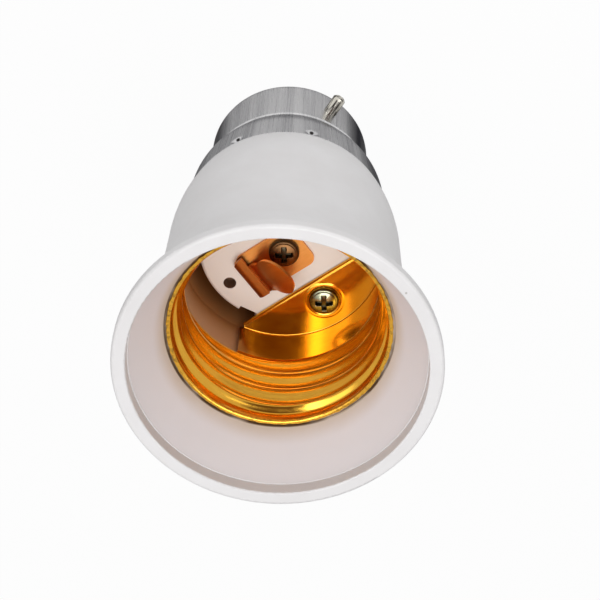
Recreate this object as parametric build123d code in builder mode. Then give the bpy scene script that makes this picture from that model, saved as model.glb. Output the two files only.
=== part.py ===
"""Lamp socket adapter: bayonet cap below, flared mouth with a screw thread shell above (mm).

The axis is Z, with z = 0 at the cap's end and the mouth upwards. The floor tab of the thread
shell lies towards +Y, and the centre contact's strip lies along X.
"""

import os
from math import cos, pi, radians, sin, sqrt

from build123d import *

os.makedirs("parts", exist_ok=True)

# Whole adapter
height = 56.6
mouth_r = 19.65
clearance = 0.1
screw_play = 0.05

# Bayonet cap, drawn from sheet
cap_r = 11.0
cap_sheet = 0.4
cap_end_round = 1.2
lip_width = 1.8
ridge_z = 10.7
ridge_step = 0.45
ridge_rise = 0.6
ridge_round = 0.3
cone_length = 4.1
cone_gain = 1.65
cone_round = 1.2
skirt_gain = 0.65
skirt_z = 20.9

# Stake dents in the skirt
dent_r = 1.1
dent_depth = 0.22
dent_below_edge = 1.2
dent_angles = (35, 81, 215, 261)

# Bayonet pins, headed, with a thin shank through the cap
pin_r = 0.9
pin_shank_r = 0.6
pin_stand = 2.5
pin_z = 5.35
pin_turn = 22.3
pin_bed = 1.2
pin_chamfer = 0.25

# End insulator, rivet contacts and straps
disc_thickness = 2.0
rivet_spread = 5.2
rivet_head_r = 2.3
rivet_shank_r = 0.8
rivet_clench_r = 1.1
rivet_clench = 0.5
strap_sheet = 0.5
strap_width = 6.4
strap_bend = 0.4
strap_foot = 3.8

# Outer wall and rim of the body
shoulder_rise = 9.1
body_wall = 1.4
waist_length = 8.5
waist_gain = 0.28
lip_height = 1.9
lip_wall = 1.4
lip_ledge = 0.1
rim_width = 1.8
rim_round = 0.45
rim_inner_round = 0.2

# Inside of the body
seat_z = 47.35
seat_margin = 0.17
bore_play = 0.1
plinth_z = 27.6
plinth_top = 3.0
plinth_chamfer = 0.3
trench_z = 22.3
trench_width = 1.3
trench_wall = 1.25
trench_taper = 4.9
cavity_r = 8.4
notch_width = 2.4
notch_depth = 0.75
notch_angle = 27

# Thread shell, rolled from sheet
thread_pitch = 3.63
thread_land_r = 12.3
thread_depth = 0.95
thread_turns = 2.2
thread_mouth = 2.5
thread_root = 0.9
thread_start = 1.95
thread_end_wall = 0.65
shell_sheet = 0.35
shell_low_z = 34.2
shell_ring = 0.5
shell_flank = 0.8
neck_length = 1.0
rim_bevel = 0.25
rim_lap = 0.63
tab_chord = 6.2
tab_bend = 0.5
relief_r = 0.7

# Centre contact, folded from strip
contact_sheet = 0.45
strip_width = 6.3
strip_shift = 0.45
strip_fold_x = 6.25
strip_tail = 2.8
strip_corner = 1.2
hem_gap = 0.2
hem_length = 1.35
leaf_bend = 0.6
leaf_angle = 42
leaf_shift = 0.8
leaf_root = 4.7
leaf_r = 3.0
leaf_reach = 2.95
leaf_dome = 0.5

# Screws
screw_r = 1.0
screw_length = 6.0
screw_end = 1.0
screw_head_r = 2.0
screw_head = 1.3
screw_dome = 0.5
cross_width = 0.6
cross_span = 2.4
cross_depth = 0.8
shell_screw_y = 9.0
boss_r = 2.0
boss_drop = 4.2
pilot_x = 8.9
pilot_r = 0.85
pilot_depth = 2.2

# Levels and radii that follow from the sizes above
disc_z = cap_sheet
tail_z = disc_z + disc_thickness
tail_r = cap_r - cap_sheet - clearance
lip_r = cap_r - lip_width
ridge_r = cap_r + ridge_step
cone_r = ridge_r + cone_gain
cone_z = ridge_z + cone_length
skirt_r = cone_r + skirt_gain
inner_skirt = cap_sheet + clearance
cavity_z = plinth_z - plinth_top
trench_r = skirt_r - trench_wall
plinth_r = trench_r - trench_width
lip_z = height - lip_height
rim_inner_r = mouth_r - rim_width
thread_root_r = thread_land_r + thread_depth
bore_r = thread_root_r + shell_sheet + bore_play
shell_rim_r = thread_root_r + rim_lap
seat_r = shell_rim_r + seat_margin
rim_z = seat_z + shell_sheet
neck_z = rim_z - rim_bevel - neck_length
waist_r = bore_r + body_wall
waist_z = skirt_z + shoulder_rise
flare_z = waist_z + waist_length
flare_r = waist_r + waist_gain
strap_half = strap_width / 2
strap_out_y = shell_screw_y - boss_r - clearance
strap_in_y = strap_out_y - strap_sheet
strap_slot = strap_half + clearance
flange_y = sqrt(plinth_r**2 - strap_slot**2) - clearance
rivet_angle = pin_turn + 90
contact_shaft = contact_sheet + plinth_top + strap_sheet + screw_end
screw_hole_r = screw_r + screw_play


def around(radius, angle):
    """Plan point at this radius and this angle in degrees."""
    return (radius * cos(radians(angle)), radius * sin(radians(angle)))


def ring_edges(edges, radius, z):
    """The circular edges of this radius about the axis at height z."""
    near = 1e-3
    rings = edges.filter_by(GeomType.CIRCLE)
    return rings.filter_by(lambda e: abs(e.radius - radius) < near and abs(e.arc_center.Z - z) < near)


def radial_plane(angle, z):
    """Plane on the axis at height z that looks outwards at this angle in degrees."""
    return Plane(origin=(0, 0, z), x_dir=(0, 0, 1), z_dir=(*around(1, angle), 0))


# Bayonet cap: revolved, rounded, shelled to the sheet, then opened at the lip
with BuildPart() as bayonet_cap:
    with BuildSketch(Plane.XZ):
        with BuildLine():
            Polyline(
                (0, 0),
                (cap_r, 0),
                (cap_r, ridge_z - ridge_rise),
                (ridge_r, ridge_z),
                (cone_r, cone_z),
                (skirt_r, skirt_z),
                (0, skirt_z),
                close=True,
            )
        make_face()
    revolve(axis=Axis.Z)
    fillet(ring_edges(bayonet_cap.edges(), cap_r, 0), cap_end_round)
    fillet(ring_edges(bayonet_cap.edges(), ridge_r, ridge_z), ridge_round)
    fillet(ring_edges(bayonet_cap.edges(), cone_r, cone_z), cone_round)
    offset(amount=-cap_sheet, openings=bayonet_cap.faces().sort_by(Axis.Z)[-1])
    with BuildSketch():
        Circle(lip_r)
    extrude(amount=cap_sheet, mode=Mode.SUBTRACT)
    for angle in (pin_turn, pin_turn + 180):
        with BuildSketch(radial_plane(angle, pin_z)):
            Circle(pin_shank_r + screw_play)
        extrude(amount=skirt_r, mode=Mode.SUBTRACT)
    dent_z = skirt_z - dent_below_edge
    dent_wall_r = cone_r + (skirt_r - cone_r) * (dent_z - cone_z) / (skirt_z - cone_z)
    for angle in dent_angles:
        with Locations((*around(dent_wall_r + dent_r - dent_depth, angle), dent_z)):
            Sphere(dent_r, mode=Mode.SUBTRACT)
bayonet_cap.part.label = "bayonet_cap"
export_step(bayonet_cap.part, "parts/bayonet_cap.step")

# Bayonet pins, each seated on the cap with its shank bedded in the tail
for name, angle in (("bayonet_pin_a", pin_turn), ("bayonet_pin_b", pin_turn + 180)):
    with BuildPart() as bayonet_pin:
        bed_r = tail_r - pin_bed
        with BuildSketch(radial_plane(angle, pin_z).offset(bed_r)):
            Circle(pin_shank_r)
        extrude(amount=cap_r - bed_r)
        with BuildSketch(radial_plane(angle, pin_z).offset(cap_r)):
            Circle(pin_r)
        extrude(amount=pin_stand)
        tip = bayonet_pin.faces().sort_by(Axis((0, 0, 0), (*around(1, angle), 0)))[-1]
        chamfer(tip.edges(), pin_chamfer)
    bayonet_pin.part.label = name
    export_step(bayonet_pin.part, f"parts/{name}.step")

# Body: one moulding with its tail, shoulder, flared mouth, bore, trench and plinth
with BuildPart() as body:
    with BuildSketch(Plane.XZ):
        with BuildLine():
            Polyline(
                (0, plinth_z),
                (0, cavity_z),
                (cavity_r, cavity_z),
                (cavity_r, tail_z),
                (tail_r, tail_z),
                (tail_r, ridge_z),
                (cone_r - inner_skirt, cone_z + cap_sheet),
                (skirt_r - inner_skirt, skirt_z),
                (skirt_r, skirt_z),
            )
            TangentArc((waist_r, waist_z), (skirt_r, skirt_z), tangent=(0, -1))
            waist = Line((waist_r, waist_z), (flare_r, flare_z))
            TangentArc((flare_r, flare_z), (rim_inner_r + lip_wall, lip_z), tangent=waist % 1)
            Polyline(
                (rim_inner_r + lip_wall, lip_z),
                (mouth_r, lip_z + rim_round),
                (mouth_r, height),
                (rim_inner_r, height),
                (rim_inner_r, lip_z),
                (rim_inner_r - lip_ledge, lip_z),
                (seat_r, rim_z),
                (seat_r, seat_z),
                (bore_r, seat_z),
                (bore_r, trench_z + trench_taper),
                (trench_r, trench_z),
                (plinth_r, trench_z),
                (plinth_r, plinth_z),
                (0, plinth_z),
            )
        make_face()
    revolve(axis=Axis.Z)
    fillet(ring_edges(body.edges(), mouth_r, height), rim_round)
    fillet(ring_edges(body.edges(), rim_inner_r, height), rim_inner_round)
    chamfer(ring_edges(body.edges(), plinth_r, plinth_z), plinth_chamfer)
    # Boss under the plinth for the shell's screw
    with BuildSketch(Plane.XY.offset(cavity_z)):
        with Locations((0, shell_screw_y)):
            Circle(boss_r)
        Circle((cavity_r + plinth_r) / 2, mode=Mode.INTERSECT)
    extrude(amount=-boss_drop)
    # Bed and slot for the shell's strap, under the floor tab
    with BuildSketch(Plane.XY.offset(plinth_z)):
        with Locations((0, strap_in_y - clearance)):
            Rectangle(2 * strap_slot, plinth_r, align=(Align.CENTER, Align.MIN))
        Circle(plinth_r, mode=Mode.INTERSECT)
    extrude(amount=-strap_sheet, mode=Mode.SUBTRACT)
    with BuildSketch(Plane.XY.offset(plinth_z)):
        with Locations((0, strap_in_y - clearance)):
            Rectangle(2 * strap_slot, strap_sheet + 2 * clearance, align=(Align.CENTER, Align.MIN))
    extrude(amount=-plinth_top, mode=Mode.SUBTRACT)
    # Notch in the plinth's edge
    with BuildSketch(Plane.XY.offset(plinth_z)):
        with Locations(Location((*around(plinth_r, notch_angle), 0), (0, 0, notch_angle))):
            Rectangle(2 * notch_depth, notch_width)
    extrude(amount=trench_z - plinth_z, mode=Mode.SUBTRACT)
    # Screw holes and the spare pilot hole
    with BuildSketch(Plane.XY.offset(plinth_z)):
        Circle(screw_hole_r)
    extrude(amount=-plinth_top, mode=Mode.SUBTRACT)
    with BuildSketch(Plane.XY.offset(plinth_z)):
        with Locations((0, shell_screw_y)):
            Circle(screw_hole_r)
    extrude(amount=-screw_length, mode=Mode.SUBTRACT)
    with BuildSketch(Plane.XY.offset(plinth_z)):
        with Locations((pilot_x, 0)):
            Circle(pilot_r)
    extrude(amount=-pilot_depth, mode=Mode.SUBTRACT)
    # Beds for the bayonet pins
    for angle in (pin_turn, pin_turn + 180):
        with BuildSketch(radial_plane(angle, pin_z).offset(tail_r - pin_bed - screw_play)):
            Circle(pin_shank_r + screw_play)
        extrude(amount=pin_bed + clearance, mode=Mode.SUBTRACT)
body.part.label = "body"
export_step(body.part, "parts/body.step")

# End insulator: disc held between the cap's lip and the tail
with BuildPart() as end_insulator:
    with BuildSketch(Plane.XY.offset(disc_z)):
        Circle(tail_r)
        with PolarLocations(rivet_spread, 2, rivet_angle):
            Circle(rivet_shank_r, mode=Mode.SUBTRACT)
    extrude(amount=disc_thickness)
    chamfer(ring_edges(end_insulator.edges(), tail_r, disc_z), cap_end_round - cap_sheet)
end_insulator.part.label = "end_insulator"
export_step(end_insulator.part, "parts/end_insulator.step")

# Rivet contacts: flat head, shank through disc and strap, clenched end
for name, angle in (("shell_end_contact", rivet_angle), ("centre_end_contact", rivet_angle + 180)):
    with BuildPart() as end_contact:
        for z, radius, depth in (
            (0, rivet_head_r, disc_z),
            (disc_z, rivet_shank_r, disc_thickness + strap_sheet),
            (tail_z + strap_sheet, rivet_clench_r, rivet_clench),
        ):
            with BuildSketch(Plane.XY.offset(z)):
                with Locations(around(rivet_spread, angle)):
                    Circle(radius)
            extrude(amount=depth)
    end_contact.part.label = name
    export_step(end_contact.part, f"parts/{name}.step")

# Shell strap: flange under the floor tab, leg down the cavity, foot on the disc
with BuildPart() as shell_strap:
    with BuildSketch(Plane.YZ):
        with BuildLine():
            FilletPolyline(
                (flange_y, plinth_z),
                (strap_in_y, plinth_z),
                (strap_in_y, tail_z + strap_sheet),
                (strap_out_y - strap_foot, tail_z + strap_sheet),
                radius=strap_bend,
            )
            offset(amount=strap_sheet, side=Side.LEFT)
        make_face()
    extrude(amount=strap_half, both=True)
    with BuildSketch(Plane.XY.offset(plinth_z)):
        with Locations((0, shell_screw_y)):
            Circle(screw_hole_r)
    extrude(amount=-strap_sheet, mode=Mode.SUBTRACT)
    with BuildSketch(Plane.XY.offset(tail_z)):
        with Locations(around(rivet_spread, rivet_angle)):
            Circle(rivet_shank_r)
    extrude(amount=strap_sheet, mode=Mode.SUBTRACT)
shell_strap.part.label = "shell_strap"
export_step(shell_strap.part, "parts/shell_strap.step")

# Centre strap: flange on the cavity's ceiling, leg, foot on the disc
with BuildPart() as centre_strap:
    with BuildSketch(Plane.YZ):
        with BuildLine():
            FilletPolyline(
                (strap_half, cavity_z - strap_sheet),
                (-strap_in_y, cavity_z - strap_sheet),
                (-strap_in_y, tail_z + strap_sheet),
                (strap_foot - strap_out_y, tail_z + strap_sheet),
                radius=strap_bend,
            )
            offset(amount=strap_sheet, side=Side.RIGHT)
        make_face()
    extrude(amount=strap_half, both=True)
    with BuildSketch(Plane.XY.offset(cavity_z)):
        Circle(screw_hole_r)
    extrude(amount=-strap_sheet, mode=Mode.SUBTRACT)
    with BuildSketch(Plane.XY.offset(tail_z)):
        with Locations(around(rivet_spread, rivet_angle + 180)):
            Circle(rivet_shank_r)
    extrude(amount=strap_sheet, mode=Mode.SUBTRACT)
centre_strap.part.label = "centre_strap"
export_step(centre_strap.part, "parts/centre_strap.step")


def thread_sweep(inner_r, outer_r, mouth, root, end_wall, mode):
    """Sweep a trapezoid along the thread's helix, stopped short by end_wall at each end."""
    trim = end_wall / (2 * pi * thread_land_r)
    run = (thread_turns - 2 * trim) * thread_pitch
    first_z = shell_low_z + thread_start + trim * thread_pitch
    with BuildLine() as helix:
        Helix(thread_pitch, run, thread_land_r, center=(0, 0, first_z))
    path = helix.line.rotate(Axis.Z, 360 * trim)
    start = path @ 0
    with BuildSketch(Plane(origin=start, x_dir=(start.X, start.Y, 0), z_dir=path % 0)) as section:
        with BuildLine():
            Polyline(
                (inner_r - thread_land_r, -mouth / 2),
                (outer_r - thread_land_r, -root / 2),
                (outer_r - thread_land_r, root / 2),
                (inner_r - thread_land_r, mouth / 2),
                close=True,
            )
        make_face()
    sweep(section.sketch, path=path, is_frenet=True, mode=mode)


# Thread shell: folded floor tab, drawn wall with a neck and a turned rim, then the rolled thread
with BuildPart() as screw_shell:
    with BuildSketch(Plane.XZ):
        with BuildLine():
            FilletPolyline(
                (0, plinth_z + shell_sheet),
                (thread_root_r, plinth_z + shell_sheet),
                (thread_root_r, shell_low_z),
                radius=tab_bend,
            )
            offset(amount=shell_sheet, side=Side.RIGHT)
        make_face()
    revolve(axis=Axis.Z)
    split(bisect_by=Plane.XZ.offset(-tab_chord), keep=Keep.BOTTOM)
    with BuildSketch(Plane.XY.offset(plinth_z)):
        with Locations((0, shell_screw_y)):
            Circle(screw_hole_r)
        tab_corner_x = sqrt(thread_root_r**2 - tab_chord**2)
        with Locations((tab_corner_x, tab_chord), (-tab_corner_x, tab_chord)):
            Circle(relief_r)
    extrude(amount=shell_sheet + tab_bend, mode=Mode.SUBTRACT)
    with BuildSketch(Plane.XZ):
        with BuildLine():
            Polyline(
                (thread_root_r, shell_low_z),
                (thread_root_r, shell_low_z + shell_ring),
                (thread_land_r, shell_low_z + shell_ring + shell_flank),
                (thread_land_r, neck_z - shell_flank),
                (thread_root_r, neck_z),
                (thread_root_r, neck_z + neck_length),
                (thread_root_r + rim_bevel, rim_z),
                (shell_rim_r, rim_z),
            )
            offset(amount=shell_sheet, side=Side.RIGHT)
        make_face()
    revolve(axis=Axis.Z)
    wide_mouth = thread_mouth + shell_sheet
    bead_root = thread_root + shell_sheet
    bead_r = thread_root_r + shell_sheet
    thread_sweep(thread_land_r + shell_sheet / 2, bead_r, wide_mouth, bead_root, 0, Mode.ADD)
    thread_sweep(
        thread_land_r - shell_sheet, thread_root_r, wide_mouth, thread_root, thread_end_wall, Mode.SUBTRACT
    )
screw_shell.part.label = "screw_shell"
export_step(screw_shell.part, "parts/screw_shell.step")

# Centre contact: strip on the plinth, hemmed at its end, then bent up into a domed sprung leaf
with BuildPart() as centre_contact:
    fold_r = contact_sheet + hem_gap / 2
    fold_x = strip_fold_x - fold_r
    fold_z = plinth_z + fold_r
    with BuildSketch(Plane.XY.offset(plinth_z)):
        with Locations((fold_x, strip_shift)):
            Rectangle(fold_x + strip_tail, strip_width, align=(Align.MAX, Align.CENTER))
        Circle(screw_hole_r, mode=Mode.SUBTRACT)
    extrude(amount=contact_sheet)
    fillet(centre_contact.edges().filter_by(Axis.Z).group_by(Axis.X)[0], strip_corner)
    # Hem: a tight half turn and the layer that it brings back
    crease_x = strip_fold_x - hem_length
    with BuildSketch(Plane.XZ.offset(-strip_shift)):
        with BuildLine():
            CenterArc((fold_x, fold_z), hem_gap / 2, -90, 180)
            Line((fold_x, fold_z + hem_gap / 2), (crease_x, fold_z + hem_gap / 2))
            offset(amount=contact_sheet, side=Side.LEFT)
        make_face()
    extrude(amount=strip_width / 2, both=True)
    # Bend at the crease
    crease_z = fold_z + fold_r
    leaf_y = strip_shift + leaf_shift
    with BuildSketch(Plane.XZ.offset(-leaf_y)):
        with BuildLine():
            CenterArc((crease_x, crease_z + leaf_bend), leaf_bend, -90, -leaf_angle)
            offset(amount=contact_sheet, side=Side.LEFT)
        make_face()
    extrude(amount=leaf_root / 2, both=True)
    # Root of the leaf, as far as the dome's edge
    lean = radians(leaf_angle)
    rise = Vector(-cos(lean), 0, sin(lean))
    outward = Vector(sin(lean), 0, cos(lean))
    foot = Vector(crease_x - leaf_bend * sin(lean), leaf_y, crease_z + leaf_bend * (1 - cos(lean)))
    root_length = leaf_reach - sqrt(leaf_r**2 - (leaf_root / 2) ** 2)
    with BuildSketch(Plane(origin=foot, x_dir=rise, z_dir=outward)):
        Rectangle(root_length, leaf_root, align=(Align.MIN, Align.CENTER))
    extrude(amount=-contact_sheet)
    # Domed round end
    dome_centre = foot + rise * leaf_reach
    with BuildSketch(Plane(origin=dome_centre, x_dir=rise, z_dir=rise.cross(outward))):
        with BuildLine():
            TangentArc((0, leaf_dome), (leaf_r, 0), tangent=(1, 0))
            Line((leaf_r, 0), (leaf_r, -contact_sheet))
            TangentArc((0, leaf_dome - contact_sheet), (leaf_r, -contact_sheet), tangent=(1, 0))
            Line((0, leaf_dome - contact_sheet), (0, leaf_dome))
        make_face()
    revolve(axis=Axis(dome_centre, outward))
centre_contact.part.label = "centre_contact"
export_step(centre_contact.part, "parts/centre_contact.step")

# Cross-head screws
for name, y, head_z, shaft in (
    ("shell_screw", shell_screw_y, plinth_z + shell_sheet, screw_length),
    ("contact_screw", 0, plinth_z + contact_sheet, contact_shaft),
):
    with BuildPart() as screw:
        with BuildSketch(Plane.XZ.offset(-y)):
            with BuildLine():
                Polyline(
                    (0, head_z + screw_head),
                    (0, head_z - shaft),
                    (screw_r, head_z - shaft),
                    (screw_r, head_z),
                    (screw_head_r, head_z),
                    (screw_head_r, head_z + screw_head - screw_dome),
                )
                TangentArc(
                    (0, head_z + screw_head),
                    (screw_head_r, head_z + screw_head - screw_dome),
                    tangent=(1, 0),
                )
            make_face()
        revolve(axis=Axis((0, y, 0), (0, 0, 1)))
        with BuildSketch(Plane.XY.offset(head_z + screw_head)):
            with Locations((0, y)):
                Rectangle(cross_span, cross_width)
                Rectangle(cross_width, cross_span)
        extrude(amount=-cross_depth, mode=Mode.SUBTRACT)
    screw.part.label = name
    export_step(screw.part, f"parts/{name}.step")
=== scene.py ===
"""Looks of the lamp socket adapter: white moulding, drawn cap, brass thread shell and copper contact."""

import bmesh
import bpy
import numpy as np
from mathutils import Matrix, Vector


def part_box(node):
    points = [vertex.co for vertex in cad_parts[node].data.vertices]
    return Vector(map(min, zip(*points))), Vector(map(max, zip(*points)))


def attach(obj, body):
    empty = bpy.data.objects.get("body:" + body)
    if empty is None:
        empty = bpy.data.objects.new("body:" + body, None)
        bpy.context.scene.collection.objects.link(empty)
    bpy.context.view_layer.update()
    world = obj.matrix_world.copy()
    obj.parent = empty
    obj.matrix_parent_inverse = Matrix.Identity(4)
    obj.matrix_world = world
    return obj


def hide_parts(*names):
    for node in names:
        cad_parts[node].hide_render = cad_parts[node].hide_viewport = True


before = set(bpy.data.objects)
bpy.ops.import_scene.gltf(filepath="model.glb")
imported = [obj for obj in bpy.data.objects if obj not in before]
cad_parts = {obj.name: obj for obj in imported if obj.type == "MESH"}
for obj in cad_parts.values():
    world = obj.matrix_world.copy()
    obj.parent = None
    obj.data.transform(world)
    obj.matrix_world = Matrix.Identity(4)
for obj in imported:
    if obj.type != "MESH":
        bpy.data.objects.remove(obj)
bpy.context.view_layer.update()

mm = 0.001

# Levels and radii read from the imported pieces
shell_low, shell_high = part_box("screw_shell")
floor_z = shell_low.z
rim_z = shell_high.z
rim_r = shell_high.x
mouth_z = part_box("body")[1].z
strip_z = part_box("centre_contact")[0].z

# Thread shell, as rolled
shell_sheet = 0.35 * mm
thread_pitch = 3.63 * mm
thread_land_r = 12.3 * mm
thread_depth = 0.95 * mm
thread_root_r = thread_land_r + thread_depth
thread_first_z = 36.15 * mm
thread_root = 0.15 * mm
thread_flank = 1.62 * mm
wall_low_z = 34.2 * mm
wall_ring = 0.5 * mm
wall_flank = 0.8 * mm
neck_length = 1.0 * mm
rim_round = 0.3 * mm
rim_under = 0.1 * mm
rim_edge_down = (0.0, 0.25, 0.75, 1.0)
rim_edge_out = (-0.12, 0.0, 0.0, -0.12)
rim_burr = 0.04 * mm
burr_waves = (47, 13, 83)
burr_fine_share = 0.6

# Floor tab of the shell
tab_chord = 6.2 * mm
tab_bend = 0.5 * mm
tab_edge_round = 0.12 * mm
tab_floor_half_angle = np.radians(60.5)
tab_wall_lap = np.radians(1.0)
tab_rows_crowding = 1.6
bead_r = 2.4 * mm
bead_width = 0.16 * mm
bead_height = 0.12 * mm

# Centre contact, as folded
contact_sheet = 0.45 * mm
strip_half = 3.15 * mm
strip_middle_y = 0.45 * mm
strip_fold_x = 6.25 * mm
strip_tail_x = -2.8 * mm
strip_corner = 1.2 * mm
strip_rows_crowding = 1.5
hem_gap = 0.2 * mm
hem_length = 1.35 * mm
hem_corner = 1.0 * mm
leaf_bend = 0.6 * mm
leaf_angle = np.radians(42.0)
leaf_middle_y = 1.25 * mm
leaf_root_half = 2.35 * mm
leaf_r = 3.0 * mm
leaf_reach = 2.95 * mm
leaf_last_swing = np.radians(88.5)
leaf_dome = 0.5 * mm

# Bayonet cap, as drawn, and its pins
cap_sheet = 0.4 * mm
cap_r = 11.0 * mm
cap_end_round = 1.2 * mm
cap_lip_r = 9.2 * mm
ridge_foot_z = 10.1 * mm
ridge_r = 11.45 * mm
ridge_z = 10.7 * mm
ridge_round = 0.3 * mm
ridge_edge_r = 11.72 * mm
ridge_edge_z = 10.6 * mm
ridge_face_r = 11.57 * mm
ridge_face_z = 10.98 * mm
ridge_edge_round = 0.08 * mm
cone_r = 13.1 * mm
cone_z = 14.8 * mm
cone_round = 1.2 * mm
skirt_r = 13.75 * mm
skirt_z = 20.9 * mm
cap_step = 0.4 * mm
dent_step = 0.06 * mm
dent_reach = 2.2 * mm
dent_angles = np.radians((39.5, 82.0, 219.5, 262.0))
dent_z = 20.0 * mm
dent_width = 0.66 * mm
dent_depth = 0.39 * mm
# Painted shade in each stake dent: a dark spot a little inwards and towards the cap's end from its middle
pit_shade_share = 0.7
pit_shade_r = skirt_r - pit_shade_share * dent_depth
pit_shade_z = dent_z - pit_shade_share * dent_width
pit_shade_edge = (0.36 * mm, 0.22 * mm)
# Heading of the cap's painted reflection: painted lit towards it and its opposite, painted shaded across it
painted_sheen_line = np.radians(237.0)
pin_heading = np.radians(22.3)

# Screws
head_height = 1.3 * mm
head_bulge = 0.4 * mm
head_edge_round = 0.45 * mm
head_middle_share = 0.02
shank_r = 1.0 * mm
shank_end_r = 0.1 * mm
cross_half_width = 0.3 * mm
cross_half_span = 1.05 * mm
cross_depth = 0.7 * mm
cross_side_wall = 0.14 * mm
cross_end_wall = 0.35 * mm
cross_turn = 0.6
# How far below a screw head's top the colour starts and ends darkening into the recess
recess_dark_drop = (0.35 * mm, 0.6 * mm)

# Tints on the white moulding, mostly painted light and shade, each from where it begins to where it is full
funnel_slope = 0.5286
funnel_inside = (-10.6 * mm, -10.9 * mm)
funnel_mouth = (17.9 * mm, 17.6 * mm)
funnel_foot = (47.0 * mm, 48.5 * mm)
fringe_edge = (15.4 * mm, 14.0 * mm)
fringe_foot = (46.0 * mm, 47.0 * mm)
bore_inner = (11.05 * mm, 11.35 * mm)
bore_outer = (13.95 * mm, 13.8 * mm)
bore_top = (47.3 * mm, 46.9 * mm)
bore_foot = (21.9 * mm, 22.2 * mm)
amber_rise = (22.0 * mm, 35.0 * mm)
plinth_edge = (11.35 * mm, 11.05 * mm)
plinth_foot = (strip_z - 1.6 * mm, strip_z - 1.2 * mm)
plinth_top = (strip_z + 2.0 * mm, strip_z + 1.0 * mm)
gap_edge = (14.16 * mm, 14.07 * mm)
gap_foot = (46.9 * mm, 47.2 * mm)
pilot_x = 8.9 * mm
pilot_edge = (0.90 * mm, 0.86 * mm)
pilot_top = (strip_z - 0.02 * mm, strip_z - 0.15 * mm)
pilot_foot = (strip_z - 2.5 * mm, strip_z - 2.3 * mm)
speck_edge = (0.028, 0.016)

# Tints on the brass and the copper, in the same way; the copper's fold gets painted shade
tarnish_rise = (rim_z - 0.6 * mm, rim_z - 0.1 * mm)
sheared_near_chord = (tab_chord + 1.5 * mm, tab_chord + 0.5 * mm)
sheared_top = (wall_low_z + 0.15 * mm, wall_low_z - 0.15 * mm)
sheared_outer = (thread_land_r + 0.3 * mm, thread_land_r + 0.7 * mm)
fold_along = (strip_fold_x - 2.6 * mm, strip_fold_x - 1.0 * mm)
fold_above = (strip_z + 0.5 * mm, strip_z + 0.75 * mm)

# Colours, from dark to light where a finish has several
moulding_tones = ((0.87, 0.85, 0.85), (0.92, 0.905, 0.91))
funnel_painted_light = (0.955, 0.91, 0.925)
plinth_painted_light = (0.98, 0.935, 0.88)
fringe_painted_shade_tan = (0.70, 0.56, 0.42)
bore_painted_amber_shade = ((0.20, 0.06, 0.006), (0.66, 0.36, 0.15), (0.93, 0.68, 0.46))
gap_painted_shadow = (0.17, 0.10, 0.05)
pilot_painted_shade = (0.26, 0.14, 0.08)
speck_brown = (0.22, 0.16, 0.12)
# Lit and shaded copies of the cap's colour, for its painted reflection
cap_painted_lit_tones = ((0.66, 0.655, 0.665), (0.87, 0.865, 0.87), (0.98, 0.97, 0.97))
cap_painted_shaded_tones = ((0.05, 0.05, 0.06), (0.20, 0.195, 0.20))
cap_edge_tint = (0.28, 0.28, 0.29)
# Painted shade in the stake dents' pits
dent_painted_shade = (0.04, 0.037, 0.037)
brass_tones = ((0.87, 0.44, 0.048), (0.90, 0.49, 0.062))
brass_tarnish = (0.36, 0.18, 0.035)
brass_sheared = (0.28, 0.085, 0.012)
copper_tones = ((0.75, 0.31, 0.075), (0.80, 0.35, 0.095))
# Painted shade on the hem under the leaf
copper_painted_shade = (0.40, 0.125, 0.025)
plated_tones = ((0.27, 0.28, 0.18), (0.43, 0.43, 0.30))
bronze_tones = ((0.12, 0.055, 0.02), (0.22, 0.11, 0.045))
# Darker tone in a screw head's recess
recess_dark_tone = (0.09, 0.075, 0.045)
rivet_tones = ((0.76, 0.55, 0.22), (0.88, 0.68, 0.32))
# The pin's dark and light tones make painted reflection bands along it
pin_painted_reflection_tones = ((0.06, 0.05, 0.04), (0.90, 0.86, 0.76))
insulator_tones = ((0.66, 0.64, 0.58), (0.78, 0.76, 0.70))

# Camera, fitted to the mouth, the brass rim, the cap's ridge and the cap's end
camera_distance = 215.0 * mm
camera_tilt = np.radians(33.55)
camera_side = np.radians(231.2)
camera_roll = np.radians(-3.25)
camera_near = 10.0 * mm
image_px = 600.0
focal_px = 1832.0
mouth_px = (277.24, 371.85)
sensor_mm = 36.0

# Stage in metres; a place or a direction is how far up the axis, towards the camera's side and to its right
white = (1, 1, 1, 1)
floor_grey = (0.62, 0.62, 0.62, 1)
floor_half = 3.0
floor_white_share = {"seen": 0.96, "mirrored": 0.2}
world_level = 0.32
world_white_share = {"seen": 1.0, "mirrored": 0.55}
key_direction, key_distance = (0.83, 0.30, -0.47), 0.5
key_size, key_level = (0.28, 0.28), 0.12
core_direction, core_distance = (0.83, 0.423, -0.364), 0.49
core_size, core_level = (0.10, 0.28), 0.09
top_offset = (0.5, 0, 0.05)
top_size, top_level = (0.3, 0.3), 0.49
fill_place, fill_aim = (0.05, 0.085, 0.02), (0.018, 0.012, 0)
fill_size, fill_level = (0.20, 0.025), 0.41
card_brown = (0.26, 0.14, 0.10, 1)
card_distance, card_r, card_sides = 0.24, 0.086, 48
matt = 0.9

no_triangles = np.zeros((0, 3), int)


def full_turn(steps):
    """Angles of equal steps round a full circle, as one row."""
    return np.arange(steps)[None, :] * 2 * np.pi / steps


def grid_faces(rows, cols, wrap_rows=False, wrap_cols=False, first=0):
    """Quads of a grid of points numbered row by row; a wrapped side joins its last line to its first."""
    row, col = np.meshgrid(
        np.arange(rows if wrap_rows else rows - 1),
        np.arange(cols if wrap_cols else cols - 1),
        indexing="ij",
    )
    next_row, next_col = (row + 1) % rows, (col + 1) % cols
    near = (row * cols + col, row * cols + next_col)
    far = (next_row * cols + next_col, next_row * cols + col)
    return np.stack(near + far, axis=-1).reshape(-1, 4) + first


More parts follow.
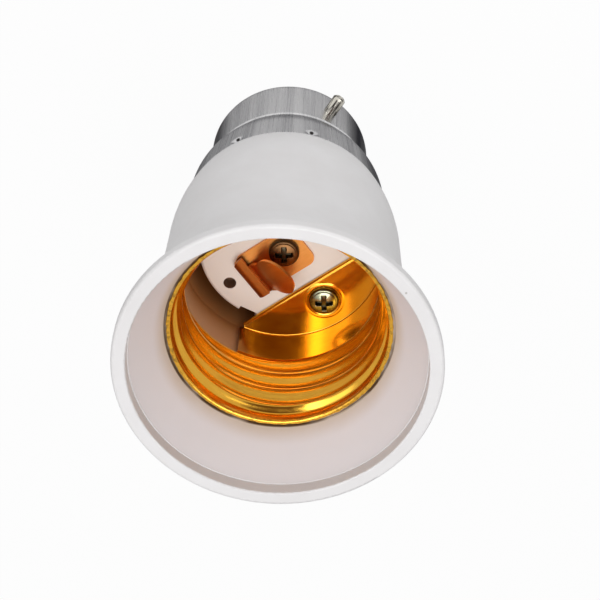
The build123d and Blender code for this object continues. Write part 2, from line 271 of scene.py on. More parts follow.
def around(radius, angle, z):
    """Points at these radii, angles and heights: x = r cos a, y = r sin a."""
    radius, angle, z = np.broadcast_arrays(radius, angle, z)
    return np.stack((radius * np.cos(angle), radius * np.sin(angle), z), axis=-1)


def turned_ring(radius, z):
    """Closed ring: rows of a closed profile (radius, z), each row a full circle of equal steps."""
    points = around(radius, full_turn(radius.shape[1]), z).reshape(-1, 3)
    return points, grid_faces(*radius.shape, wrap_rows=True, wrap_cols=True), no_triangles


def turned_solid(radius, z):
    """Closed solid of turning: rows of (radius, z) that start and end just off the axis, with a point at
    each end."""
    rows, cols = radius.shape
    points = around(radius, full_turn(cols), z).reshape(-1, 3)
    ends = np.array(((0, 0, z[0].mean()), (0, 0, z[-1].mean())))
    ring = np.arange(cols)
    after = np.roll(ring, -1)
    last = (rows - 1) * cols
    top = np.stack((np.full(cols, rows * cols), after, ring), axis=-1)
    low = np.stack((np.full(cols, rows * cols + 1), last + ring, last + after), axis=-1)
    quads = grid_faces(rows, cols, wrap_cols=True)
    return np.concatenate((points, ends)), quads, np.concatenate((top, low))


def closed_sheet(face, thickness):
    """Closed sheet: a grid of points, the same grid moved along its normals, and the border between them."""
    along, across = np.gradient(face, axis=0), np.gradient(face, axis=1)
    normal = np.cross(along, across)
    normal /= np.linalg.norm(normal, axis=-1, keepdims=True)
    back = face + normal * thickness
    rows, cols = face.shape[:2]
    count = rows * cols
    number = np.arange(count).reshape(rows, cols)
    border = np.concatenate((number[0, :-1], number[:-1, -1], number[-1, :0:-1], number[:0:-1, 0]))
    following = np.roll(border, -1)
    sides = np.stack((border, following, following + count, border + count), axis=-1)
    front = grid_faces(rows, cols)
    rear = grid_faces(rows, cols, first=count)[:, ::-1]
    points = np.concatenate((face.reshape(-1, 3), back.reshape(-1, 3)))
    return points, np.concatenate((front, rear, sides)), no_triangles


def smooth(t):
    """Smooth step from 0 to 1 as t goes from 0 to 1."""
    t = np.clip(t, 0, 1)
    return t * t * (3 - 2 * t)


def make_piece(name, shells, material, node):
    """One smooth object from closed shells of (points, quads, triangles), in the place of its node."""
    points, faces, count = [], [], 0
    for shell_points, quads, triangles in shells:
        points.append(shell_points)
        faces += (quads + count).tolist() + (triangles + count).tolist()
        count += len(shell_points)
    mesh = bpy.data.meshes.new(name)
    mesh.from_pydata(np.concatenate(points).tolist(), [], faces)
    mesh.validate()
    mesh.polygons.foreach_set("use_smooth", np.ones(len(mesh.polygons), bool))
    mesh.materials.append(material)
    piece = bpy.data.objects.new(name, mesh)
    bpy.context.scene.collection.objects.link(piece)
    recalculate_normals(mesh)
    edges_sharp_by_angle(mesh)
    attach(piece, "root")
    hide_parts(node)


def recalculate_normals(mesh):
    """Turn every closed shell of a mesh so that its faces point outwards."""
    work = bmesh.new()
    work.from_mesh(mesh)
    bmesh.ops.recalc_face_normals(work, faces=work.faces)
    work.to_mesh(mesh)
    work.free()


def edges_sharp_by_angle(mesh, limit=40.0):
    """Mark the edges whose faces meet at more than the limit in degrees as sharp."""
    mesh.set_sharp_from_angle(angle=np.radians(limit))


# Steps of a material

def start_material(name, metallic=0.0):
    """A new material with its node tree and its shader."""
    material = bpy.data.materials.new(name)
    material.use_nodes = True
    tree = material.node_tree
    shader = tree.nodes["Principled BSDF"]
    shader.inputs["Metallic"].default_value = metallic
    return material, tree, shader


def object_place(tree):
    """Place of a point on the part, in metres."""
    return tree.nodes.new("ShaderNodeTexCoord").outputs["Object"]


def vector_step(tree, operation, first, second=None, result="Vector"):
    """One vector operation on a socket and, where it takes one, a fixed or linked second vector."""
    node = tree.nodes.new("ShaderNodeVectorMath")
    node.operation = operation
    tree.links.new(first, node.inputs[0])
    if isinstance(second, tuple):
        node.inputs[1].default_value = second
    elif second is not None:
        tree.links.new(second, node.inputs[1])
    return node.outputs[result]


def value_step(tree, operation, first, second):
    """One operation on two values, each a socket or a number."""
    node = tree.nodes.new("ShaderNodeMath")
    node.operation = operation
    for socket, value in zip(node.inputs, (first, second)):
        if isinstance(value, (int, float)):
            socket.default_value = value
        else:
            tree.links.new(value, socket)
    return node.outputs["Value"]


def product(tree, *shares):
    """Shares multiplied together."""
    result = shares[0]
    for share in shares[1:]:
        result = value_step(tree, "MULTIPLY", result, share)
    return result


def coordinates(tree):
    """Place of a point as its X, Y and Z."""
    split = tree.nodes.new("ShaderNodeSeparateXYZ")
    tree.links.new(object_place(tree), split.inputs["Vector"])
    return split.outputs


def in_plan(tree):
    """Place of a point with its height left out."""
    return vector_step(tree, "MULTIPLY", object_place(tree), (1, 1, 0))


def from_axis(tree):
    """Distance from the part's axis and height above its end, in metres."""
    return vector_step(tree, "LENGTH", in_plan(tree), result="Value"), coordinates(tree)["Z"]


def place_pattern(tree, stretch, turned=False, heading=None):
    """Places stretched along each axis. Turned ones use the direction from the axis in place of x and y, so
    that a pattern runs straight along any turned wall; a heading about z becomes the first axis."""
    place = object_place(tree)
    if heading is not None:
        swing = tree.nodes.new("ShaderNodeVectorRotate")
        swing.rotation_type = "Z_AXIS"
        swing.inputs["Angle"].default_value = -heading
        tree.links.new(place, swing.inputs["Vector"])
        place = swing.outputs["Vector"]
    if turned:
        plan = vector_step(tree, "NORMALIZE", vector_step(tree, "MULTIPLY", place, (1, 1, 0)))
        place = vector_step(tree, "ADD", plan, vector_step(tree, "MULTIPLY", place, (0, 0, 1)))
    return vector_step(tree, "MULTIPLY", place, stretch)


def noise(tree, scale, stretch=(1, 1, 1), detail=4.0, roughness=0.6, turned=False, heading=None):
    """Fractal noise over the object, with this many features to the metre."""
    node = tree.nodes.new("ShaderNodeTexNoise")
    node.inputs["Scale"].default_value = scale
    node.inputs["Detail"].default_value = detail
    node.inputs["Roughness"].default_value = roughness
    tree.links.new(place_pattern(tree, stretch, turned, heading), node.inputs["Vector"])
    return node.outputs["Fac"]


def ramp(tree, value, colours, start=0.3, end=0.7, middle=0.5):
    """Two or three colours along a value: the first at its start, the last at its end."""
    node = tree.nodes.new("ShaderNodeValToRGB")
    elements = node.color_ramp.elements
    for element, place, colour in zip(elements, (start, end), (colours[0], colours[-1])):
        element.position, element.color = place, (*colour, 1)
    for colour in colours[1:-1]:
        elements.new(middle).color = (*colour, 1)
    tree.links.new(value, node.inputs["Fac"])
    return node.outputs["Color"]


def fade(tree, value, start, end):
    """Smooth share from 0 where the value is at its start to 1 where it is at its end."""
    node = tree.nodes.new("ShaderNodeMapRange")
    node.interpolation_type = "SMOOTHSTEP"
    node.inputs["From Min"].default_value = start
    node.inputs["From Max"].default_value = end
    tree.links.new(value, node.inputs["Value"])
    return node.outputs["Result"]


def spread(tree, value, low, high):
    """A noise value, which mostly lies from 0.3 to 0.7, carried to the range from low to high."""
    node = tree.nodes.new("ShaderNodeMapRange")
    node.inputs["From Min"].default_value = 0.3
    node.inputs["From Max"].default_value = 0.7
    node.inputs["To Min"].default_value = low
    node.inputs["To Max"].default_value = high
    tree.links.new(value, node.inputs["Value"])
    return node.outputs["Result"]


def blend(tree, share, under, over):
    """A colour, fixed or linked, over a linked one in this share."""
    node = tree.nodes.new("ShaderNodeMix")
    node.data_type = "RGBA"
    sockets = {socket.identifier: socket for socket in node.inputs}
    tree.links.new(share, sockets["Factor_Float"])
    tree.links.new(under, sockets["A_Color"])
    if isinstance(over, tuple):
        sockets["B_Color"].default_value = (*over, 1)
    else:
        tree.links.new(over, sockets["B_Color"])
    return next(socket for socket in node.outputs if socket.identifier == "Result_Color")


def finish_surface(tree, shader, colour, marks, rough, height, strength, depth):
    """Colour, roughness that follows the marks, and fine relief of this depth on a shader."""
    tree.links.new(colour, shader.inputs["Base Color"])
    tree.links.new(spread(tree, marks, *rough), shader.inputs["Roughness"])
    bump = tree.nodes.new("ShaderNodeBump")
    bump.inputs["Strength"].default_value = strength
    bump.inputs["Distance"].default_value = depth
    tree.links.new(height, bump.inputs["Height"])
    tree.links.new(bump.outputs["Normal"], shader.inputs["Normal"])


# Finishes

def white_moulding():
    """Semi-gloss white moulding with faint clouding and a fine moulded skin. The funnel and the plinth are
    painted a little lighter as painted light. The bore is painted amber as brass reflection and darkens to
    its foot as painted shade, round the brass rim lies a painted tan shade and reflection with a painted
    shadow line in the gap, and the pilot hole is painted dark as shade. A few specks are scattered about."""
    material, tree, shader = start_material("white_moulding")
    clouds = noise(tree, scale=140)
    colour = ramp(tree, clouds, moulding_tones)
    radius, height = from_axis(tree)

    # The lean is the same all along the funnel's inside, and larger on the outer wall
    lean = value_step(tree, "SUBTRACT", radius, value_step(tree, "MULTIPLY", height, funnel_slope))
    # Painted light: the funnel's inside is painted a little lighter and pinker than the rest of the moulding
    funnel = product(
        tree,
        fade(tree, lean, *funnel_inside),
        fade(tree, radius, *funnel_mouth),
        fade(tree, height, *funnel_foot),
    )
    colour = blend(tree, funnel, colour, funnel_painted_light)
    # Painted shade and painted brass reflection: a tan fringe on the funnel round the brass rim
    fringe = product(
        tree,
        fade(tree, radius, *fringe_edge),
        fade(tree, height, *fringe_foot),
        spread(tree, clouds, low=0.5, high=0.8),
    )
    colour = blend(tree, fringe, colour, fringe_painted_shade_tan)
    # Painted reflection and painted shade: the bore is painted amber like brass reflection, darkest at its
    # foot
    bore = product(
        tree,
        fade(tree, radius, *bore_inner),
        fade(tree, radius, *bore_outer),
        fade(tree, height, *bore_top),
        fade(tree, height, *bore_foot),
    )
    amber = ramp(tree, fade(tree, height, *amber_rise), bore_painted_amber_shade, start=0.0, end=1.0, middle=0.45)
    colour = blend(tree, bore, colour, amber)
    # Painted light: the plinth's top is painted lighter and warmer
    plinth = product(
        tree,
        fade(tree, radius, *plinth_edge),
        fade(tree, height, *plinth_foot),
        fade(tree, height, *plinth_top),
    )
    colour = blend(tree, plinth, colour, plinth_painted_light)
    # Painted shadow: a broken dark line in the gap round the brass rim
    gap = product(
        tree,
        fade(tree, radius, *gap_edge),
        fade(tree, height, *gap_foot),
        fade(tree, noise(tree, scale=160, detail=2.0), start=0.25, end=0.5),
    )
    colour = blend(tree, gap, colour, gap_painted_shadow)
    # Painted shade: the pilot hole is painted dark brown
    to_pilot = vector_step(tree, "DISTANCE", in_plan(tree), (pilot_x, 0, 0), result="Value")
    pilot = product(
        tree,
        fade(tree, to_pilot, *pilot_edge),
        fade(tree, height, *pilot_top),
        fade(tree, height, *pilot_foot),
    )
    colour = blend(tree, pilot, colour, pilot_painted_shade)
    cells = tree.nodes.new("ShaderNodeTexVoronoi")
    cells.inputs["Scale"].default_value = 90.0
    tree.links.new(object_place(tree), cells.inputs["Vector"])
    specks = fade(tree, cells.outputs["Distance"], *speck_edge)
    colour = blend(tree, specks, colour, speck_brown)

    gloss = noise(tree, scale=900)
    skin = noise(tree, scale=2600, detail=2.0)
    finish_surface(tree, shader, colour, gloss, (0.28, 0.42), skin, strength=0.12, depth=0.02 * mm)
    return material


def drawn_cap_metal():
    """Cap metal brushed along its axis: fine long streaks in colour, roughness and relief. Two lit and two
    shaded quarters are painted in as painted reflection, where the lit share follows the square of the cosine
    from the painted sheen line. The stake dents have painted shade in their pits."""
    material, tree, shader = start_material("drawn_cap_metal", metallic=1.0)
    streaks = noise(tree, scale=1, stretch=(90, 90, 40), roughness=0.7, turned=True)
    broad = noise(tree, scale=1, stretch=(9, 9, 14), detail=2.0, turned=True)
    half_streaks = value_step(tree, "MULTIPLY", streaks, 0.5)
    half_broad = value_step(tree, "MULTIPLY", broad, 0.5)
    mixed = value_step(tree, "ADD", half_streaks, half_broad)
    painted_lit = ramp(tree, mixed, cap_painted_lit_tones, start=0.36, end=0.64)
    painted_shaded = ramp(tree, mixed, cap_painted_shaded_tones, start=0.36, end=0.64)
    # Painted reflection: lit quarters towards the sheen line and its opposite, shaded quarters across it
    outward = place_pattern(tree, (1, 1, 0), turned=True)
    line = (np.cos(painted_sheen_line), np.sin(painted_sheen_line), 0)
    cosine = vector_step(tree, "DOT_PRODUCT", outward, line, result="Value")
    quarter = value_step(tree, "MULTIPLY", cosine, cosine)
    colour = blend(tree, fade(tree, quarter, start=0.50, end=0.16), painted_lit, painted_shaded)
    # Painted shade in the pit of each stake dent
    for angle in dent_angles:
        pit = (pit_shade_r * np.cos(angle), pit_shade_r * np.sin(angle), pit_shade_z)
        to_pit = vector_step(tree, "DISTANCE", object_place(tree), pit, result="Value")
        colour = blend(tree, fade(tree, to_pit, *pit_shade_edge), colour, dent_painted_shade)
    shader.inputs["Specular Tint"].default_value = (*cap_edge_tint, 1)
    finish_surface(tree, shader, colour, streaks, (0.22, 0.36), streaks, strength=0.15, depth=0.01 * mm)
    return material


def bright_metal(name, tones, rough, stretch=(1, 1, 1), heading=None, split=(0.3, 0.7), head_z=None):
    """Bright metal between two tones, with fine tool marks drawn out along the given axes. Where the height
    of a screw's head is given, the recess in it is darker."""
    material, tree, shader = start_material(name, metallic=1.0)
    marks = noise(tree, scale=1500, stretch=stretch, detail=3.0, heading=heading)
    colour = ramp(tree, marks, tones, *split)
    if head_z is not None:
        # The colour darkens from a little below the head's top down into the recess
        shallow, deep = recess_dark_drop
        recess_darkening = fade(tree, coordinates(tree)["Z"], head_z - shallow, head_z - deep)
        colour = blend(tree, recess_darkening, colour, recess_dark_tone)
    finish_surface(tree, shader, colour, marks, rough, marks, strength=0.1, depth=0.004 * mm)
    return material


def shell_metal():
    """Bright rolled brass of the thread shell: faint marks along the roll, ragged tarnish on the cut rim and
    dark, heat-tinted ends where the tab is sheared from the wall."""
    material, tree, shader = start_material("shell_brass", metallic=1.0)
    marks = noise(tree, scale=1500, stretch=(0.5, 0.5, 3), detail=3.0)
    colour = ramp(tree, marks, brass_tones)
    radius, height = from_axis(tree)
    patches = fade(tree, noise(tree, scale=1800, roughness=0.7), start=0.46, end=0.72)
    tarnish = product(tree, fade(tree, height, *tarnish_rise), patches)
    colour = blend(tree, tarnish, colour, brass_tarnish)
    sheared = product(
        tree,
        fade(tree, coordinates(tree)["Y"], *sheared_near_chord),
        fade(tree, height, *sheared_top),
        fade(tree, radius, *sheared_outer),
    )
    colour = blend(tree, sheared, colour, brass_sheared)
    finish_surface(tree, shader, colour, marks, (0.13, 0.18), marks, strength=0.1, depth=0.002 * mm)
    return material


def contact_metal():
    """Copper alloy of the sprung contact: faint rolling marks along the strip and painted shade on the hem
    under the leaf."""
    material, tree, shader = start_material("contact_copper", metallic=1.0)
    marks = noise(tree, scale=1500, stretch=(0.4, 2, 1), detail=3.0)
    colour = ramp(tree, marks, copper_tones)
    place = coordinates(tree)
    # Painted shade: the top of the hem under the leaf is painted darker
    fold = product(tree, fade(tree, place["X"], *fold_along), fade(tree, place["Z"], *fold_above))
    colour = blend(tree, fold, colour, copper_painted_shade)
    finish_surface(tree, shader, colour, marks, (0.34, 0.42), marks, strength=0.1, depth=0.004 * mm)
    return material


def pressed_insulator():
    """Matt pressed insulating disc with a faint fleck."""
    material, tree, shader = start_material("pressed_insulator")
    fleck = noise(tree, scale=1500)
    colour = ramp(tree, fleck, insulator_tones)
    finish_surface(tree, shader, colour, fleck, (0.5, 0.7), fleck, strength=0.2, depth=0.02 * mm)
    return material


# Pieces

def rounded(corners, rounds, steps=8):
    """Profile through corner points with each corner rounded: a quadratic curve between the two points that
    lie the corner's round away from it along its sides."""
    share = np.linspace(0, 1, steps)[:, None]
    pieces = [corners[:1]]
    for before, corner, after, reach in zip(corners[:-2], corners[1:-1], corners[2:], rounds):
        start = corner + (before - corner) / np.linalg.norm(before - corner) * reach
        end = corner + (after - corner) / np.linalg.norm(after - corner) * reach
        pieces.append((1 - share) ** 2 * start + 2 * share * (1 - share) * corner + share**2 * end)
    return np.concatenate((*pieces, corners[-1:]))


def along_profile(profile, step, end_step, end_reach):
    """The same profile with points one step apart along its length, closer over the reach at its end, and
    its own points kept."""
    length = np.concatenate(((0,), np.cumsum(np.linalg.norm(np.diff(profile, axis=0), axis=1))))
    close = np.arange(length[-1] - end_reach, length[-1], end_step)
    even = np.union1d(length, np.concatenate((np.arange(0, length[-1], step), close)))
    radius, z = np.interp(even, length, profile[:, 0]), np.interp(even, length, profile[:, 1])
    return np.stack((radius, z), axis=-1)


def drawn_cap(sides=480):
    """Drawn cap: a rounded profile turned about the axis, with a rolled edge on its ridge. Each stake dent
    pushes the skirt in by depth * exp(-(distance / width)^4), and the inside lies one sheet away."""
    outer_corners = np.array((
        (cap_lip_r, 0),
        (cap_r, 0),
        (cap_r, ridge_foot_z),
        (ridge_edge_r, ridge_edge_z),
        (ridge_face_r, ridge_face_z),
        (cone_r, cone_z),
        (skirt_r, skirt_z),
    ))
    outer_rounds = (cap_end_round, ridge_round, ridge_edge_round, ridge_edge_round, cone_round)
    inner_corners = np.array((
        (skirt_r - cap_sheet, skirt_z),
        (cone_r - cap_sheet, cone_z),
        (ridge_r - cap_sheet, ridge_z + cap_sheet / 2),
        (cap_r - cap_sheet, ridge_foot_z + cap_sheet / 2),
        (cap_r - cap_sheet, cap_sheet),
        (cap_lip_r, cap_sheet),
    ))
    inner_rounds = (cone_round, ridge_round, ridge_round, cap_end_round - cap_sheet)
    outside = along_profile(rounded(outer_corners, outer_rounds), cap_step, dent_step, dent_reach)
    inside = rounded(inner_corners, inner_rounds)
    angle = full_turn(sides)
    radius = outside[:, :1] + 0 * angle
    z = outside[:, 1:] + 0 * angle
    for dent_angle in dent_angles:
        across = skirt_r * (np.mod(angle - dent_angle + np.pi, 2 * np.pi) - np.pi)
        away = np.hypot(across, z - dent_z) / dent_width
        radius = radius - dent_depth * np.exp(-(away**4))
    inner_r = inside[:, :1] + 0 * angle
    inner_z = inside[:, 1:] + 0 * angle
    return turned_ring(np.concatenate((radius, inner_r)), np.concatenate((z, inner_z)))


def thread_wall(sides=360, inner_rows=110, bend_rows=8, outer_rows=40):
    """Rolled wall: radius = root - depth * smooth((distance from the groove's middle - half its root) /
    flank), where the groove's middle climbs one pitch to the turn. Both ends stay plain at the root radius,
    then comes a turned rim with a slightly ragged edge, and the outside lies one sheet away."""
    angle = full_turn(sides)
    neck_top_z = rim_z - rim_round

    def wave(z):
        inside = smooth((z - wall_low_z - wall_ring) / wall_flank)
        inside = inside * smooth((neck_top_z - neck_length - z) / wall_flank)
        climb = (z - thread_first_z) / thread_pitch - angle / (2 * np.pi)
        away = thread_pitch * np.abs(climb - np.round(climb))
        return thread_root_r - thread_depth * inside * smooth((away - thread_root / 2) / thread_flank)

    inner_z = np.linspace(wall_low_z, neck_top_z, inner_rows)[:, None] + 0 * angle
    bend = np.linspace(0, np.pi / 2, bend_rows)[1:, None]
    bend_r = thread_root_r + rim_round * (1 - np.cos(bend)) + 0 * angle
    bend_z = neck_top_z + rim_round * np.sin(bend) + 0 * angle
    coarse, slow, fine = burr_waves
    burr = np.sin(coarse * angle) * np.sin(slow * angle + 1) + burr_fine_share * np.sin(fine * angle + 2)
    ragged_r = rim_r - rim_burr * (1 + burr_fine_share) + rim_burr * burr
    edge_r = ragged_r + np.array(rim_edge_out)[:, None] * shell_sheet
    edge_z = rim_z - np.array(rim_edge_down)[:, None] * shell_sheet + 0 * angle
    outer_top_z = rim_z - shell_sheet - rim_under
    outer_z = np.linspace(outer_top_z, wall_low_z, outer_rows)[:, None] + 0 * angle
    radius = np.concatenate((wave(inner_z), bend_r, edge_r, wave(outer_z) + shell_sheet))
    z = np.concatenate((inner_z, bend_z, edge_z, outer_z))
    return turned_ring(radius, z)


def tab_wall(cols=120, rows=24):
    """Plain wall of the tab: an arc of the root radius between the two ends of the chord."""
    half = np.arccos(tab_chord / thread_root_r) + tab_wall_lap
    angle = np.linspace(np.pi / 2 - half, np.pi / 2 + half, cols)[None, :]
    z = np.linspace(floor_z + shell_sheet + tab_bend, wall_low_z, rows)[:, None]
    return closed_sheet(around(thread_root_r, angle, z), shell_sheet)


def tab_floor(cols=170, rows=70, bend_rows=10):
    """Bend and floor of the tab: a quarter round down from the wall, then inwards to the chord, where the
    radius is chord / sin(angle); a raised bead rings the screw and the chord's edge is rounded."""
    half = tab_floor_half_angle
    angle = np.linspace(np.pi / 2 - half, np.pi / 2 + half, cols)[None, :]
    turn = np.linspace(0, np.pi / 2, bend_rows)[:, None]
    top_z = floor_z + shell_sheet
    bend_r = thread_root_r - tab_bend * (1 - np.cos(turn)) + 0 * angle
    bend_z = top_z + tab_bend * (1 - np.sin(turn)) + 0 * angle
    share = 1 - (1 - np.linspace(0, 1, rows)[1:, None]) ** tab_rows_crowding
    inner_r = tab_chord / np.sin(angle)
    floor_r = (thread_root_r - tab_bend) * (1 - share) + inner_r * share
    screw_low, screw_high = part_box("shell_screw")
    screw_y = (screw_low.y + screw_high.y) / 2
    flat = around(floor_r, angle, 0 * floor_r)
    away = np.hypot(flat[..., 0], flat[..., 1] - screw_y)
    bead = bead_height * np.exp(-(((away - bead_r) / bead_width) ** 2))
    to_edge = (floor_r - inner_r) * np.sin(angle)
    short = np.clip(tab_edge_round - to_edge, 0, tab_edge_round)
    drop = tab_edge_round - np.sqrt(tab_edge_round**2 - short**2)
    radius = np.concatenate((bend_r, floor_r))
    z = np.concatenate((bend_z, top_z + bead - drop))
    return closed_sheet(around(radius, angle, z), -shell_sheet)


def hem_trim(x):
    """How far the hem's far corner is rounded back at x: a quarter circle up to the fold."""
    past = np.clip(x - (strip_fold_x - hem_corner), 0, hem_corner)
    return hem_corner - np.sqrt(hem_corner**2 - past**2)


def contact_strip(cols=40, rows=60):
    """Strip on the plinth: x along it and y across it. Near its tail the half width follows a quarter
    circle."""
    along = np.linspace(0, 1, rows)[:, None]
    across = np.linspace(-1, 1, cols)[None, :]
    fold_x = strip_fold_x - contact_sheet - hem_gap / 2
    x = strip_tail_x + (fold_x - strip_tail_x) * along**strip_rows_crowding
    short = np.clip(strip_corner - (x - strip_tail_x), 0, None)
    half = strip_half - strip_corner + np.sqrt(strip_corner**2 - short**2)
    y = strip_middle_y + across * half + hem_trim(x) * (1 - across) / 2
    x, y, z = np.broadcast_arrays(x, y, strip_z + contact_sheet)
    return closed_sheet(np.stack((x, y, z), axis=-1), -contact_sheet)


def contact_hem(cols=30, turn_rows=28, flat_rows=8):
    """Hem at the strip's end: a half turn about the fold, then straight back along the top to the crease."""
    fold_r = contact_sheet + hem_gap / 2
    fold_x = strip_fold_x - fold_r
    turn = np.linspace(-np.pi / 2, np.pi / 2, turn_rows)
    back_run = np.linspace(0, hem_length - fold_r, flat_rows)[1:]
    path_x = np.concatenate((fold_x + fold_r * np.cos(turn), fold_x - back_run))[:, None]
    path_z = np.concatenate((fold_r * (1 + np.sin(turn)), 2 * fold_r + 0 * back_run))[:, None]
    across = np.linspace(-1, 1, cols)[None, :]
    y = strip_middle_y + across * strip_half + hem_trim(path_x) * (1 - across) / 2
    x, y, z = np.broadcast_arrays(path_x, y, strip_z + path_z)
    return closed_sheet(np.stack((x, y, z), axis=-1), -contact_sheet)


def contact_leaf(cols=61, bend_rows=14, root_rows=10, disc_rows=70):
    """Sprung leaf: a bend up from the crease, a straight root, then a round end whose half width is the
    chord of its circle; it is domed by dome * (1 - (distance from the middle / radius)^2)."""
    crease_x = strip_fold_x - hem_length
    crease_z = strip_z + 2 * contact_sheet + hem_gap
    turn = np.linspace(0, leaf_angle, bend_rows)
    first_swing = np.arccos(leaf_root_half / leaf_r)
    swing = np.linspace(-first_swing, leaf_last_swing, disc_rows)
    root_run = np.linspace(0, leaf_reach - leaf_r * np.sin(first_swing), root_rows)[1:-1]
    run = np.concatenate((0 * turn, root_run, leaf_reach + leaf_r * np.sin(swing)))[:, None]
    plain = np.full(bend_rows + root_run.size, leaf_root_half)
    half = np.concatenate((plain, leaf_r * np.cos(swing)))[:, None]
    lean = np.concatenate((turn, np.full(run.size - bend_rows, leaf_angle)))[:, None]
    across = np.linspace(-1, 1, cols)[None, :] * half
    away = ((run - leaf_reach) ** 2 + across**2) / leaf_r**2
    dome = leaf_dome * np.clip(1 - away, 0, None)
    x = crease_x - leaf_bend * np.sin(lean) - run * np.cos(lean) + dome * np.sin(lean)
    z = crease_z + leaf_bend * (1 - np.cos(lean)) + run * np.sin(lean) + dome * np.cos(lean)
    x, y, z = np.broadcast_arrays(x, leaf_middle_y + across, z)
    return closed_sheet(np.stack((x, y, z), axis=-1), contact_sheet)


def screw_head(node, sides=160, top_rows=60, edge_rows=9):
    """Pan-head screw: height = top - bulge * (radius / head radius)^2, less a cross-shaped hollow whose walls
    fall smoothly, then a rounded edge, the flat under the head and the shank."""
    low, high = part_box(node)
    middle_y = (low.y + high.y) / 2
    head_r = (high.x - low.x) / 2
    under_z = high.z - head_height
    angle = full_turn(sides)
    reach = np.linspace(head_middle_share, 1, top_rows)[:, None]
    top_r = reach * (head_r - head_edge_round) + 0 * angle
    x, y = top_r * np.cos(angle + cross_turn), top_r * np.sin(angle + cross_turn)

    def bar(across, along):
        inside = smooth((cross_half_width - np.abs(across)) / cross_side_wall + 0.5)
        return inside * smooth((cross_half_span - np.abs(along)) / cross_end_wall + 0.5)

    hollow = np.maximum(bar(x, y), bar(y, x))
    top_z = high.z - head_bulge * (top_r / head_r) ** 2 - cross_depth * hollow
    turn = np.linspace(0, np.pi / 2, edge_rows)[1:, None]
    edge_r = head_r - head_edge_round * (1 - np.sin(turn)) + 0 * angle
    edge_z = high.z - head_bulge - head_edge_round * (1 - np.cos(turn)) + 0 * angle
    foot_r = np.array((head_r, shank_r, shank_r, shank_end_r))[:, None] + 0 * angle
    foot_z = np.array((under_z, under_z, low.z, low.z))[:, None] + 0 * angle
    radius = np.concatenate((top_r, edge_r, foot_r))
    z = np.concatenate((top_z, edge_z, foot_z))
    points, quads, triangles = turned_solid(radius, z)
    return points + np.array((0, middle_y, 0)), quads, triangles


cap_metal = drawn_cap_metal()
brass = shell_metal()
copper = contact_metal()
plated = bright_metal("screw_metal", plated_tones, (0.16, 0.26), head_z=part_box("shell_screw")[1].z)
bronze = bright_metal("contact_screw_metal", bronze_tones, (0.3, 0.42), head_z=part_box("contact_screw")[1].z)
rivet = bright_metal("rivet_brass", rivet_tones, (0.2, 0.34))
# Painted reflection: long random dark and light bands along the pin, as tool marks drawn out
pin_reflection_streaks = {"stretch": (0.1, 1.3, 1.3), "heading": pin_heading, "split": (0.42, 0.56)}
pin = bright_metal("pin_metal", pin_painted_reflection_tones, (0.08, 0.16), **pin_reflection_streaks)

node_finish = {
    "body": white_moulding(),
    "bayonet_cap": cap_metal,
    "bayonet_pin_a": pin,
    "bayonet_pin_b": pin,
    "end_insulator": pressed_insulator(),
    "shell_end_contact": rivet,
    "centre_end_contact": rivet,
    "shell_strap": rivet,
    "centre_strap": rivet,
    "screw_shell": brass,
    "centre_contact": copper,
    "shell_screw": plated,
    "contact_screw": bronze,
}
for node, finish in node_finish.items():
    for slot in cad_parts[node].material_slots:
        slot.material = finish

make_piece("drawn_cap", (drawn_cap(),), cap_metal, "bayonet_cap")
make_piece("thread_shell", (thread_wall(), tab_wall(), tab_floor()), brass, "screw_shell")
contact_shells = (contact_strip(), contact_hem(), contact_leaf())
make_piece("sprung_contact", contact_shells, copper, "centre_contact")
make_piece("tab_screw", (screw_head("shell_screw"),), plated, "shell_screw")
make_piece("strip_screw", (screw_head("contact_screw"),), bronze, "contact_screw")


# Stage

def white_to_the_eye(tree, seen, mirrored):
    """Share of plain white in a surface: one for what the camera sees, one for what metal shows."""
    path = tree.nodes.new("ShaderNodeLightPath")
    share = value_step(tree, "MULTIPLY", path.outputs["Is Camera Ray"], seen)
    for ray, part in (("Is Glossy Ray", mirrored), ("Is Transmission Ray", seen)):
        share = value_step(tree, "MAXIMUM", share, value_step(tree, "MULTIPLY", path.outputs[ray], part))
    return share


def mix_shaders(tree, share, under, over, output):
    """Light of one shader over another in this share, as the output of a tree."""
    mix = tree.nodes.new("ShaderNodeMixShader")
    tree.links.new(share, mix.inputs["Fac"])
    tree.links.new(under, mix.inputs[1])
    tree.links.new(over, mix.inputs[2])
    tree.links.new(mix.outputs["Shader"], tree.nodes[output].inputs["Surface"])


def stage_sheet(name, corners, material):
    """A flat sheet of the stage with these corners."""
    mesh = bpy.data.meshes.new(name)
    mesh.from_pydata([tuple(corner) for corner in corners], [], [tuple(range(len(corners)))])
    mesh.materials.append(material)
    sheet = bpy.data.objects.new(name, mesh)
    bpy.context.scene.collection.objects.link(sheet)
    return sheet


def stage_floor():
    """Pale floor under the cap's end: white to the eye, with a soft part of the shadow left."""
    material, tree, shader = start_material("stage_floor")
    shader.inputs["Base Color"].default_value = floor_grey
    shader.inputs["Roughness"].default_value = matt
    glow = tree.nodes.new("ShaderNodeEmission")
    glow.inputs["Color"].default_value = white
    glow.inputs["Strength"].default_value = 1.0
    share = white_to_the_eye(tree, **floor_white_share)
    mix_shaders(tree, share, shader.outputs["BSDF"], glow.outputs["Emission"], "Material Output")
    signs = ((-1, -1), (1, -1), (1, 1), (-1, 1))
    stage_sheet("stage_floor", [(floor_half * x, floor_half * y, 0) for x, y in signs], material)


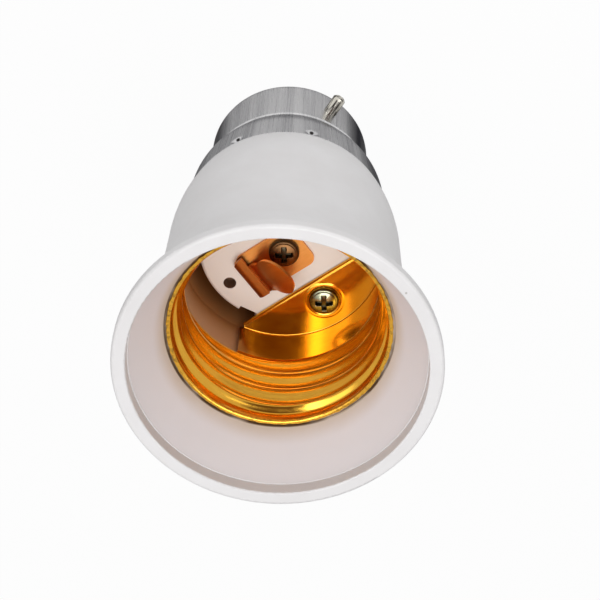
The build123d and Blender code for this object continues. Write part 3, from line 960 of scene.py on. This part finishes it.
def dark_card(name, middle, facing):
    """A dark round card that the bright metals mirror, as a camera and the dark room behind it would be."""
    material, _, shader = start_material(name)
    shader.inputs["Base Color"].default_value = card_brown
    shader.inputs["Roughness"].default_value = matt
    across = facing.orthogonal().normalized()
    upright = facing.cross(across).normalized()
    turns = full_turn(card_sides)[0]
    corners = [middle + (across * np.cos(turn) + upright * np.sin(turn)) * card_r for turn in turns]
    card = stage_sheet(name, corners, material)
    card.visible_camera = False
    card.visible_diffuse = False
    card.visible_shadow = False


def studio_world():
    """Even soft light from all round, and plain white behind the object."""
    world = bpy.data.worlds.new("studio")
    world.use_nodes = True
    bpy.context.scene.world = world
    tree = world.node_tree
    soft = tree.nodes["Background"]
    plain = tree.nodes.new("ShaderNodeBackground")
    for background, level in ((soft, world_level), (plain, 1.0)):
        background.inputs["Color"].default_value = white
        background.inputs["Strength"].default_value = level
    share = white_to_the_eye(tree, **world_white_share)
    mix_shaders(tree, share, soft.outputs["Background"], plain.outputs["Background"], "World Output")


def soft_lamp(name, place, aim, size, level):
    """A lamp of this width and height that faces its aim and lights a white surface there to this level."""
    lamp = bpy.data.lights.new(name, "AREA")
    lamp.shape = "RECTANGLE"
    lamp.size, lamp.size_y = size
    lamp.energy = level * (np.pi * (aim - place).length) ** 2
    holder = bpy.data.objects.new(name, lamp)
    bpy.context.scene.collection.objects.link(holder)
    holder.location = place
    holder.rotation_mode = "QUATERNION"
    holder.rotation_quaternion = (aim - place).to_track_quat("-Z", "Y")


axis = Vector((0, 0, 1))
side = Vector((np.cos(camera_side), np.sin(camera_side), 0))
right = side.cross(axis)
back = side * np.sin(camera_tilt) + axis * np.cos(camera_tilt)
mouth_centre = Vector((0, 0, mouth_z))


def on_stage(up, towards, across):
    """So far up the axis, towards the camera's side and to its right."""
    return axis * up + side * towards + right * across


def photo_camera():
    """Camera at its fitted distance and tilt, rolled, then turned so that the mouth's centre meets its
    pixel."""
    up = back.cross(right)
    base = Matrix((right, up, back)).transposed() @ Matrix.Rotation(-camera_roll, 3, "Z")
    across, above = mouth_px[0] - image_px / 2, image_px / 2 - mouth_px[1]
    ray = base @ Vector((across / focal_px, above / focal_px, -1))
    turn = ray.rotation_difference(-back).to_matrix()
    lens = bpy.data.cameras.new("photo_camera")
    lens.sensor_width = sensor_mm
    lens.lens = focal_px * sensor_mm / image_px
    lens.clip_start = camera_near
    holder = bpy.data.objects.new("photo_camera", lens)
    bpy.context.scene.collection.objects.link(holder)
    holder.matrix_world = Matrix.Translation(mouth_centre + back * camera_distance) @ (turn @ base).to_4x4()
    bpy.context.scene.camera = holder


stage_floor()
studio_world()
key_place = mouth_centre + on_stage(*key_direction).normalized() * key_distance
soft_lamp("key", key_place, mouth_centre, key_size, key_level)
core_place = mouth_centre + on_stage(*core_direction).normalized() * core_distance
soft_lamp("key_core", core_place, mouth_centre, core_size, core_level)
soft_lamp("top", mouth_centre + on_stage(*top_offset), mouth_centre, top_size, top_level)
soft_lamp("wall_fill", on_stage(*fill_place), on_stage(*fill_aim), fill_size, fill_level)
dark_card("camera_card", mouth_centre + back * card_distance, back)
photo_camera()
bpy.context.scene.view_settings.view_transform = "Standard"
